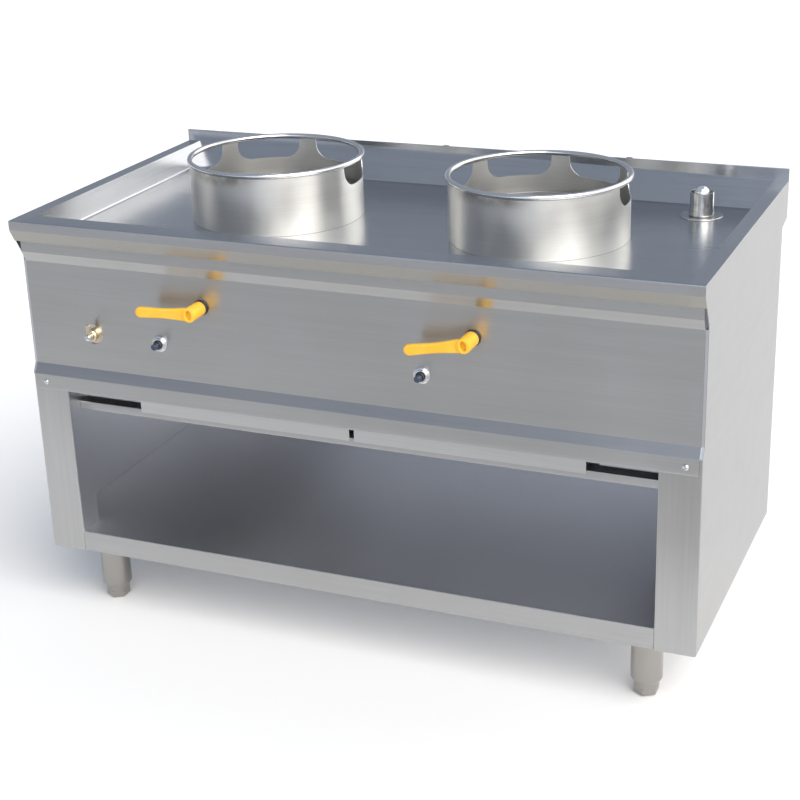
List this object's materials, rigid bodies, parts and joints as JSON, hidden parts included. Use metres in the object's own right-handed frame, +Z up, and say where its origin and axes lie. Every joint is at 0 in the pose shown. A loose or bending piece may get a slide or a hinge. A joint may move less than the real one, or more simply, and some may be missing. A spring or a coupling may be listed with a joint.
{
  "type": "wok range",
  "caption": "Free-standing gas wok range: sunken worktop with lift-off wok rings and a standpipe drain, lever gas valves, push igniters, drip trays, open storage shelf and screw feet.",
  "frame": {"origin": "centre of the footprint on the floor, under the middle of the bounding box", "axes": "+X to the right seen from the front, +Y from the front towards the rear wall, +Z up"},
  "size_m": [1.4, 0.7444, 0.9345],
  "materials": {
    "worktop": "brushed stainless, bluish grey",
    "panel": "brushed stainless",
    "tray": "brushed stainless",
    "ring": "rolled stainless with light heat tint",
    "leg": "satin stainless tube",
    "chrome": "bright plated",
    "brass": "bare brass",
    "copper": "bare copper pipe",
    "iron": "bare casting, sooty",
    "yellow": "yellow moulded plastic, satin",
    "black": "black moulded plastic",
    "button": "dark blue moulded plastic",
    "ceramic": "white glazed ceramic"
  },
  "bodies": {
    "cabinet": {"worktop": "worktop", "side_panel_left": "panel", "side_panel_right": "panel", "bottom_shelf": "panel", "back_panel": "panel", "control_fascia": "panel", "fascia_screw_left": "chrome", "fascia_screw_right": "chrome", "tray_rail": "panel", "tray_runner_left": "panel", "tray_runner_middle": "panel", "tray_runner_right": "panel", "leg_front_left": "leg", "leg_front_right": "leg", "leg_rear_left": "leg", "leg_rear_right": "leg", "burner_well_left": "ring", "burner_well_right": "ring", "burner_support_left": "panel", "burner_support_right": "panel", "burner_left": "iron", "burner_right": "iron", "spark_electrode_left": "ceramic", "spark_electrode_right": "ceramic", "gas_manifold": "copper", "gas_valve_left": "brass", "gas_valve_right": "brass", "lever_collar_left": "black", "lever_collar_right": "black", "injector_pipe_left": "copper", "injector_pipe_right": "copper", "igniter_body_left": "black", "igniter_body_right": "black", "igniter_nut_left": "chrome", "igniter_nut_right": "chrome", "water_tap_body": "brass", "water_pipe": "copper", "water_spout": "copper", "drain_flange": "chrome", "drain_pipe": "panel"},
    "drip_tray_left": {"drip_tray_left": "tray"},
    "drip_tray_right": {"drip_tray_right": "tray"},
    "wok_ring_left": {"wok_ring_shell_left": "ring", "wok_ring_rim_left": "ring"},
    "wok_ring_right": {"wok_ring_shell_right": "ring", "wok_ring_rim_right": "ring"},
    "gas_lever_left": {"gas_lever_left": "yellow", "valve_spindle_left": "chrome"},
    "gas_lever_right": {"gas_lever_right": "yellow", "valve_spindle_right": "chrome"},
    "igniter_button_left": {"igniter_button_left": "button"},
    "igniter_button_right": {"igniter_button_right": "button"},
    "water_tap": {"water_tap_spindle": "brass", "water_tap_screw": "chrome"},
    "standpipe": {"standpipe": "chrome", "standpipe_knob": "chrome"},
    "foot_front_left": {"foot_front_left": "leg"},
    "foot_front_right": {"foot_front_right": "leg"},
    "foot_rear_left": {"foot_rear_left": "leg"},
    "foot_rear_right": {"foot_rear_right": "leg"}
  },
  "joints": [
    {"name": "drip_tray_left_pull", "type": "slide", "parent": "cabinet", "child": "drip_tray_left", "axis": [0, -1, 0], "range_m": [0, 0.35]},
    {"name": "drip_tray_right_pull", "type": "slide", "parent": "cabinet", "child": "drip_tray_right", "axis": [0, -1, 0], "range_m": [0, 0.35]},
    {"name": "wok_ring_left_lift", "type": "slide", "parent": "cabinet", "child": "wok_ring_left", "axis": [0, 0, 1], "range_m": [0, 0.15]},
    {"name": "wok_ring_right_lift", "type": "slide", "parent": "cabinet", "child": "wok_ring_right", "axis": [0, 0, 1], "range_m": [0, 0.15]},
    {"name": "gas_lever_left_turn", "type": "hinge", "parent": "cabinet", "child": "gas_lever_left", "pos_m": [-0.297, -0.33, 0.708], "axis": [0, -1, 0], "range_deg": [0, 90]},
    {"name": "gas_lever_right_turn", "type": "hinge", "parent": "cabinet", "child": "gas_lever_right", "pos_m": [0.267, -0.33, 0.708], "axis": [0, -1, 0], "range_deg": [0, 90]},
    {"name": "igniter_button_left_push", "type": "slide", "parent": "cabinet", "child": "igniter_button_left", "axis": [0, 1, 0], "range_m": [0, 0.008], "stiffness_N_per_m": 400, "springref_m": -0.01},
    {"name": "igniter_button_right_push", "type": "slide", "parent": "cabinet", "child": "igniter_button_right", "axis": [0, 1, 0], "range_m": [0, 0.008], "stiffness_N_per_m": 400, "springref_m": -0.01},
    {"name": "water_tap_turn", "type": "hinge", "parent": "cabinet", "child": "water_tap", "pos_m": [-0.549, -0.33, 0.626], "axis": [0, -1, 0], "range_deg": [0, 90]},
    {"name": "standpipe_lift", "type": "slide", "parent": "cabinet", "child": "standpipe", "axis": [0, 0, 1], "range_m": [0, 0.1]},
    {"name": "foot_front_left_screw", "type": "slide", "parent": "cabinet", "child": "foot_front_left", "axis": [0, 0, -1], "range_m": [0, 0.03]},
    {"name": "foot_front_right_screw", "type": "slide", "parent": "cabinet", "child": "foot_front_right", "axis": [0, 0, -1], "range_m": [0, 0.03]},
    {"name": "foot_rear_left_screw", "type": "slide", "parent": "cabinet", "child": "foot_rear_left", "axis": [0, 0, -1], "range_m": [0, 0.03]},
    {"name": "foot_rear_right_screw", "type": "slide", "parent": "cabinet", "child": "foot_rear_right", "axis": [0, 0, -1], "range_m": [0, 0.03]}
  ]
}
